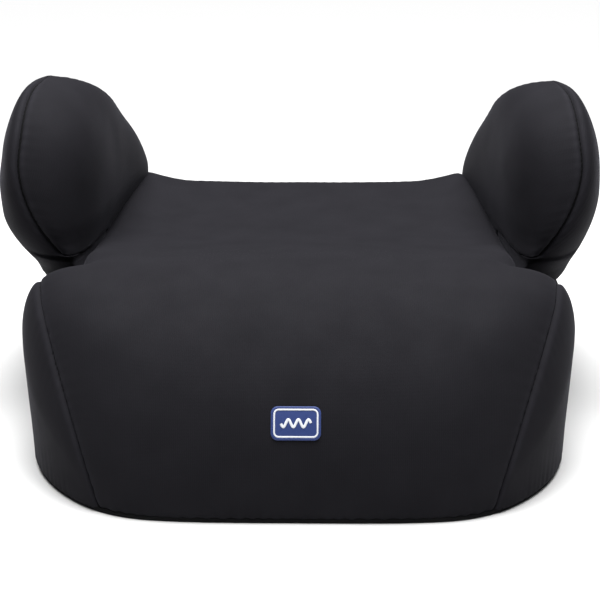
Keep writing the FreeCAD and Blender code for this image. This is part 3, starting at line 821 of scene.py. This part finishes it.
def on_front(u, v, lift):
    """Point of the front face, u across and v up from the label's middle, raised by lift."""
    a = math.asin((LABEL_Z - ROLL_Z) / ROLL_RZ)
    angle = a + v / LABEL_BEND
    step = np.stack([0.0 * u, -np.cos(angle), np.sin(angle)], -1)
    start = np.stack([u, 0.0 * u + ROLL_Y, 0.0 * u + ROLL_Z], -1)
    p = march(body_top, start, step, REACH)
    n = np.stack([0.0 * u, -np.cos(angle) * 1.02, np.sin(angle)], -1)
    n /= np.linalg.norm(n, axis=-1, keepdims=True)
    return p + n * lift[..., None]


def rounded_rect(w, h, r, count):
    """Outline of a rounded rectangle, count points round each corner."""
    pts = []
    for k, (cx, cy) in enumerate(((1, 1), (-1, 1), (-1, -1), (1, -1))):
        for a in np.linspace(0.0, math.pi / 2, count) + k * math.pi / 2:
            pts.append((cx * (w / 2 - r) + r * math.cos(a), cy * (h / 2 - r) + r * math.sin(a)))
    return np.array(pts)


def resample(pts, count):
    """Points spaced evenly along a closed outline."""
    closed = np.vstack([pts, pts[:1]])
    run = running(closed)
    at = np.linspace(0.0, run[-1], count, endpoint=False)
    return np.stack([np.interp(at, run, closed[:, i]) for i in range(2)], -1)


def build_label():
    """Woven field of the label with a rounded rim, sewn down along its edge."""
    outline = resample(rounded_rect(LABEL_W, LABEL_H, LABEL_CORNER, 10), LABEL_POINTS)
    size = np.array([LABEL_W, LABEL_H])
    rows = []
    for shrink, lift in LABEL_SECTION:
        q = outline * (1.0 - 2.0 * shrink / size)
        rows.append(on_front(q[:, 0], q[:, 1], np.full(len(q), lift)))
    centre = np.zeros(LABEL_POINTS)
    rows.append(on_front(centre, centre, centre + 1.0))
    grid = np.array(rows)
    insets = [shrink for shrink, _ in LABEL_SECTION] + [LABEL_H / 2]
    uv = np.array([outline * (1.0 - 2.0 * shrink / size) for shrink in insets])
    return make_mesh("label_field", grid, uv, closed_cols=True, flip=True)


def band_along(name, path, width, lift, closed=False):
    """Raised flat thread band that follows a path on the label."""
    if closed:
        t = np.roll(path, -1, axis=0) - np.roll(path, 1, axis=0)
    else:
        t = np.gradient(path, axis=0)
    t /= np.linalg.norm(t, axis=1, keepdims=True)
    n = np.stack([-t[:, 1], t[:, 0]], -1)
    rows = []
    for side, up in BAND_SECTION:
        q = path + n * side * width / 2.0
        rows.append(on_front(q[:, 0], q[:, 1], np.full(len(q), 1.0 + lift * up)))
    grid = np.array(rows)
    blank = 0.0 * grid[..., 0]
    uv = np.stack([running(path)[None] + blank, np.linspace(0.0, width, 7)[:, None] + blank], -1)
    return make_mesh(name, grid, uv, closed_cols=closed)


# ---- materials ----

def new_material(name):
    mat = bpy.data.materials.new(name)
    mat.use_nodes = True
    nodes, links = mat.node_tree.nodes, mat.node_tree.links
    return mat, nodes, links, nodes["Principled BSDF"]


def add_math(nodes, links, operation, a, b=None):
    node = nodes.new("ShaderNodeMath")
    node.operation = operation
    for socket, value in zip(node.inputs, (a, b)):
        if value is None:
            continue
        if isinstance(value, (int, float)):
            socket.default_value = value
        else:
            links.new(value, socket)
    return node.outputs[0]


def knit_height(nodes, links, wale, course):
    """Height from 0 to 1 of a plain knit: columns of V-shaped stitches in the cloth's grain."""
    grain = nodes.new("ShaderNodeUVMap")
    grain.uv_map = "grain"
    split = nodes.new("ShaderNodeSeparateXYZ")
    links.new(grain.outputs[0], split.inputs[0])
    u = add_math(nodes, links, "MULTIPLY", split.outputs[0], 1.0 / wale)
    v = add_math(nodes, links, "MULTIPLY", split.outputs[1], 1.0 / course)
    across = add_math(nodes, links, "SUBTRACT", add_math(nodes, links, "FRACT", u), 0.5)
    leg = add_math(nodes, links, "MULTIPLY", add_math(nodes, links, "ABSOLUTE", across), 2.0)
    slant = add_math(nodes, links, "ADD", v, add_math(nodes, links, "MULTIPLY", leg, 0.55))
    turn = add_math(nodes, links, "MULTIPLY", slant, 2.0 * math.pi)
    loop = add_math(nodes, links, "MULTIPLY", add_math(nodes, links, "COSINE", turn), 0.25)
    groove = add_math(nodes, links, "MULTIPLY", add_math(nodes, links, "POWER", leg, 3.0), 0.45)
    return add_math(nodes, links, "SUBTRACT", add_math(nodes, links, "ADD", loop, 0.72), groove)


def object_noise(nodes, links, scale, detail):
    coords = nodes.new("ShaderNodeTexCoord")
    texture = nodes.new("ShaderNodeTexNoise")
    texture.inputs["Scale"].default_value = scale
    texture.inputs["Detail"].default_value = detail
    links.new(coords.outputs["Object"], texture.inputs["Vector"])
    return texture.outputs["Fac"]


def color_ramp(nodes, links, value, low, high, span=(0.0, 1.0)):
    ramp = nodes.new("ShaderNodeValToRGB")
    for element, position, color in zip(ramp.color_ramp.elements, span, (low, high)):
        element.position, element.color = position, (*color, 1.0)
    links.new(value, ramp.inputs["Fac"])
    return ramp.outputs["Color"]


def add_bump(nodes, links, bsdf, height, strength, distance):
    bump = nodes.new("ShaderNodeBump")
    bump.inputs["Strength"].default_value = strength
    bump.inputs["Distance"].default_value = distance
    links.new(height, bump.inputs["Height"])
    links.new(bump.outputs["Normal"], bsdf.inputs["Normal"])


def knit_material(name, dark, light, wale=0.0012, course=0.0009, sheen=0.04):
    """Fine knit: stitches, mottled dye, loose fibres, and a painted highlight on the ridge beside the
    seams.
    """
    mat, nodes, links, bsdf = new_material(name)
    stitches = knit_height(nodes, links, wale, course)
    dye = object_noise(nodes, links, 38.0, 4.0)
    fibres = object_noise(nodes, links, 2400.0, 2.0)
    shade = add_math(nodes, links, "MULTIPLY", dye, 0.5)
    shade = add_math(nodes, links, "ADD", shade, add_math(nodes, links, "MULTIPLY", stitches, 0.3))
    shade = add_math(nodes, links, "ADD", shade, add_math(nodes, links, "MULTIPLY", fibres, 0.2))
    cloth = color_ramp(nodes, links, shade, dark, light, (0.3, 0.7))
    # Painted highlight: beside the seams the cloth is mixed, in patches, towards a much lighter colour.
    seam_highlight = nodes.new("ShaderNodeAttribute")
    seam_highlight.attribute_name = "seam_highlight"
    highlight_patches = object_noise(nodes, links, 160.0, 3.0)
    patchy_highlight = add_math(nodes, links, "MULTIPLY", seam_highlight.outputs["Fac"], highlight_patches)
    wear_and_highlight = nodes.new("ShaderNodeMixRGB")
    links.new(add_math(nodes, links, "MULTIPLY", patchy_highlight, 0.5), wear_and_highlight.inputs["Fac"])
    links.new(cloth, wear_and_highlight.inputs["Color1"])
    wear_and_highlight.inputs["Color2"].default_value = (*[c * 1.9 for c in light], 1.0)
    links.new(wear_and_highlight.outputs["Color"], bsdf.inputs["Base Color"])
    add_bump(nodes, links, bsdf, stitches, 0.35, 0.00022)
    rough = nodes.new("ShaderNodeMapRange")
    rough.inputs["To Min"].default_value, rough.inputs["To Max"].default_value = 0.86, 0.74
    links.new(dye, rough.inputs["Value"])
    links.new(rough.outputs["Result"], bsdf.inputs["Roughness"])
    bsdf.inputs["Specular IOR Level"].default_value = 0.07
    bsdf.inputs["Sheen Weight"].default_value = sheen
    bsdf.inputs["Sheen Roughness"].default_value = 0.3
    bsdf.inputs["Sheen Tint"].default_value = (0.85, 0.84, 1.0, 1.0)
    return mat


def weave_material(name, dark, light):
    """Dense flat weave of a label: fine crossing threads in the piece's own grain."""
    mat, nodes, links, bsdf = new_material(name)
    grain = nodes.new("ShaderNodeUVMap")
    grain.uv_map = "grain"
    split = nodes.new("ShaderNodeSeparateXYZ")
    links.new(grain.outputs[0], split.inputs[0])
    threads = []
    for axis, pitch in ((0, 0.0005), (1, 0.0004)):
        phase = add_math(nodes, links, "MULTIPLY", split.outputs[axis], 2.0 * math.pi / pitch)
        threads.append(add_math(nodes, links, "SINE", phase))
    crossing = add_math(nodes, links, "MULTIPLY", threads[0], threads[1])
    weave = add_math(nodes, links, "ADD", add_math(nodes, links, "MULTIPLY", crossing, 0.35), 0.35)
    wear_and_highlight = add_math(nodes, links, "MULTIPLY", object_noise(nodes, links, 700.0, 3.0), 0.3)
    shade = add_math(nodes, links, "ADD", weave, wear_and_highlight)
    links.new(color_ramp(nodes, links, shade, dark, light), bsdf.inputs["Base Color"])
    add_bump(nodes, links, bsdf, weave, 0.4, 0.0001)
    bsdf.inputs["Roughness"].default_value = 0.6
    bsdf.inputs["Sheen Weight"].default_value = 0.1
    return mat


def plastic_material(name, color, rough, specular=0.5):
    """Moulded plastic: spark-eroded grain, slight cloudiness, and scuffs that shine."""
    mat, nodes, links, bsdf = new_material(name)
    grain = object_noise(nodes, links, 1800.0, 2.0)
    clouds = object_noise(nodes, links, 22.0, 3.0)
    low, high = [c * 0.8 for c in color], [c * 1.3 for c in color]
    links.new(color_ramp(nodes, links, clouds, low, high, (0.3, 0.7)), bsdf.inputs["Base Color"])
    add_bump(nodes, links, bsdf, grain, 0.25, 0.0001)
    scuffs = nodes.new("ShaderNodeMapRange")
    scuffs.inputs["To Min"].default_value = rough + 0.1
    scuffs.inputs["To Max"].default_value = rough - 0.12
    links.new(object_noise(nodes, links, 90.0, 5.0), scuffs.inputs["Value"])
    links.new(scuffs.outputs["Result"], bsdf.inputs["Roughness"])
    bsdf.inputs["Specular IOR Level"].default_value = specular
    return mat


def steel_material(name):
    """Zinc-plated steel: turned grain, cloudy plating and darker spots."""
    mat, nodes, links, bsdf = new_material(name)
    spots = object_noise(nodes, links, 420.0, 4.0)
    plating = color_ramp(nodes, links, spots, (0.34, 0.34, 0.35), (0.62, 0.62, 0.63), (0.35, 0.6))
    links.new(plating, bsdf.inputs["Base Color"])
    add_bump(nodes, links, bsdf, object_noise(nodes, links, 2600.0, 2.0), 0.2, 0.0001)
    bsdf.inputs["Metallic"].default_value = 1.0
    bsdf.inputs["Roughness"].default_value = 0.34
    return mat


def braid_material(name, dark, light):
    """Braided elastic: rubber threads crossing on the slant, seen in the object's own space."""
    mat, nodes, links, bsdf = new_material(name)
    coords = nodes.new("ShaderNodeTexCoord")
    height = None
    for angle in (0.7, -0.7):
        turned = nodes.new("ShaderNodeMapping")
        turned.inputs["Rotation"].default_value = (0.0, angle, angle)
        links.new(coords.outputs["Object"], turned.inputs["Vector"])
        bands = nodes.new("ShaderNodeTexWave")
        bands.inputs["Scale"].default_value = 260.0
        links.new(turned.outputs["Vector"], bands.inputs["Vector"])
        half = add_math(nodes, links, "MULTIPLY", bands.outputs["Fac"], 0.5)
        height = half if height is None else add_math(nodes, links, "ADD", height, half)
    links.new(color_ramp(nodes, links, height, dark, light), bsdf.inputs["Base Color"])
    add_bump(nodes, links, bsdf, height, 0.5, 0.0002)
    bsdf.inputs["Roughness"].default_value = 0.7
    return mat


# ---- build ----

knit = knit_material("knit_cover", (0.0082, 0.0079, 0.0099), (0.0112, 0.0108, 0.0134))
# The lining's near-black colour, far darker than the cover's knit, is painted shade for the shaded pit
# under the armrests.
painted_shade_knit = knit_material("painted_shade_knit_lining", (0.0022, 0.0022, 0.0025), (0.0035, 0.0035, 0.0038), sheen=0.01)
hem_knit = knit_material("knit_hem", (0.005, 0.005, 0.0056), (0.008, 0.008, 0.0086), 0.0016, 0.0012)
thread = knit_material("seam_thread", (0.002, 0.002, 0.0022), (0.0038, 0.0038, 0.0041),
                       0.0009, 0.0006, 0.02)
label_navy = weave_material("label_navy", (0.006, 0.022, 0.12), (0.01, 0.034, 0.17))
label_white = weave_material("label_white", (0.58, 0.6, 0.63), (0.76, 0.77, 0.8))
CAD_FINISHES = {
    "shell_plastic": plastic_material("shell_plastic", (0.018, 0.018, 0.019), 0.55),
    "guide_plastic": plastic_material("guide_plastic", (0.0035, 0.0035, 0.0036), 0.5, 0.25),
    "screw_steel": steel_material("screw_steel"),
    "elastic": braid_material("braided_elastic", (0.012, 0.012, 0.012), (0.035, 0.035, 0.035)),
}


def finish_piece(obj, material, nodes=()):
    """Gives a piece its material and body, and hides the CAD nodes that it stands for."""
    obj.data.materials.clear()
    obj.data.materials.append(material)
    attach(obj, "root")
    if nodes:
        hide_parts(*nodes)


half, behind = seat_grid()
SEAM = half[~behind][:, -1]
seat_panel = build_seat_panel(half, behind)
finish_piece(seat_panel, knit, ["cover_seat_panel", "seat_foam"])
finish_piece(build_back_panel(), knit, ["cover_back_panel"])
finish_piece(build_hem(), hem_knit, ["cover_hem"])
for label, side in (("right", 1.0), ("left", -1.0)):
    panel = build_side_panel(label, side, SEAM)
    finish_piece(panel, knit, [label + "_cover_side_panel"])
    finish_piece(build_deck(label, side), painted_shade_knit)
    for outer in (False, True):
        kind = "outer" if outer else "inner"
        stands_for = [f"{label}_armrest_{kind}_panel"] + ([label + "_armrest_foam"] if outer else [])
        finish_piece(build_arm_panel(label, side, outer), knit, stands_for)
    rim = arm_grid(label, False)[:, 0]
    for kind, path, centre, radius, sink in (
        ("seat_seam", SEAM, (100.0, ROLL_Y, ROLL_Z), 1.1, 2.0),
        ("armrest_seam", rim, (165.0, 80.0, 150.0), 0.9, 2.3),
    ):
        out = mirror(path - np.array(centre), side)
        bead = tube(f"{label}_{kind}", mirror(path, side), out, radius, sink)
        finish_piece(bead, thread)

finish_piece(build_label(), label_navy, ["front_label"])
inner_w, inner_h = LABEL_W - 2.0 * BORDER_INSET, LABEL_H - 2.0 * BORDER_INSET
border = resample(rounded_rect(inner_w, inner_h, BORDER_CORNER, 10), 200)
finish_piece(band_along("label_border", border, 1.1, 0.22, closed=True), label_white)
wave_x = np.linspace(-9.5, 9.5, 120)
wave = np.stack([wave_x, 2.4 * np.sin(wave_x * 2.0 * np.pi / 6.4)], -1)
finish_piece(band_along("label_motif", wave, 1.7, 0.25), label_white)

SLOTS = {part["node"]: part["material_slot"] for part in frame["record"]["subparts"]}
for node, obj in frame["nodes"].items():
    if not obj.hide_render:
        obj.data.materials.clear()
        obj.data.materials.append(CAD_FINISHES[SLOTS[node]])

# ---- stage ----

floor_mesh = bpy.data.meshes.new("floor")
floor_mesh.from_pydata([(-30, -30, 0), (30, -30, 0), (30, 30, 0), (-30, 30, 0)], [], [(0, 1, 2, 3)])
floor = bpy.data.objects.new("floor", floor_mesh)
bpy.context.collection.objects.link(floor)
floor_mat, nodes, links, bsdf = new_material("floor_paper")
bsdf.inputs["Base Color"].default_value = (0.64, 0.64, 0.64, 1.0)
bsdf.inputs["Roughness"].default_value = 0.9
floor_mesh.materials.append(floor_mat)

world = bpy.data.worlds.new("studio")
bpy.context.scene.world = world
world.use_nodes = True
world_nodes, world_links = world.node_tree.nodes, world.node_tree.links
fill_light = world_nodes["Background"]
fill_light.inputs["Color"].default_value = (1.0, 1.0, 1.0, 1.0)
fill_light.inputs["Strength"].default_value = 0.06
backdrop = world_nodes.new("ShaderNodeBackground")
backdrop.inputs["Color"].default_value = (1.0, 1.0, 1.0, 1.0)
light_path = world_nodes.new("ShaderNodeLightPath")
either = world_nodes.new("ShaderNodeMixShader")
world_links.new(light_path.outputs["Is Camera Ray"], either.inputs["Fac"])
world_links.new(fill_light.outputs["Background"], either.inputs[1])
world_links.new(backdrop.outputs["Background"], either.inputs[2])
world_links.new(either.outputs["Shader"], world_nodes["World Output"].inputs["Surface"])

sun_data = bpy.data.lights.new("softbox", "SUN")
sun_data.energy = 4.7
sun_data.angle = math.radians(40.0)
sun = bpy.data.objects.new("softbox", sun_data)
sun.rotation_euler = (math.radians(4.0), 0.0, 0.0)
bpy.context.collection.objects.link(sun)

panel_data = bpy.data.lights.new("overhead_panel", "AREA")
panel_data.shape = "RECTANGLE"
panel_data.size, panel_data.size_y = 0.8, 0.5
panel_data.energy = 9.0
panel = bpy.data.objects.new("overhead_panel", panel_data)
panel.location = (0.0, 0.08, 0.78)
bpy.context.collection.objects.link(panel)

camera_data = bpy.data.cameras.new("camera")
camera_data.lens = 98.0
camera_data.sensor_width = 36.0
camera = bpy.data.objects.new("camera", camera_data)
bpy.context.collection.objects.link(camera)
CAMERA_ELEVATION, CAMERA_AZIMUTH, CAMERA_DISTANCE = math.radians(19.0), math.radians(0.8), 1.2
target = Vector((0.0001, 0.0, 0.0857))
back = Vector((math.sin(CAMERA_AZIMUTH) * math.cos(CAMERA_ELEVATION),
               -math.cos(CAMERA_AZIMUTH) * math.cos(CAMERA_ELEVATION), math.sin(CAMERA_ELEVATION)))
camera.location = target + back * CAMERA_DISTANCE
camera.rotation_mode = "QUATERNION"
camera.rotation_quaternion = (-back).to_track_quat("-Z", "Y")
bpy.context.scene.camera = camera
bpy.context.scene.view_settings.view_transform = "Standard"
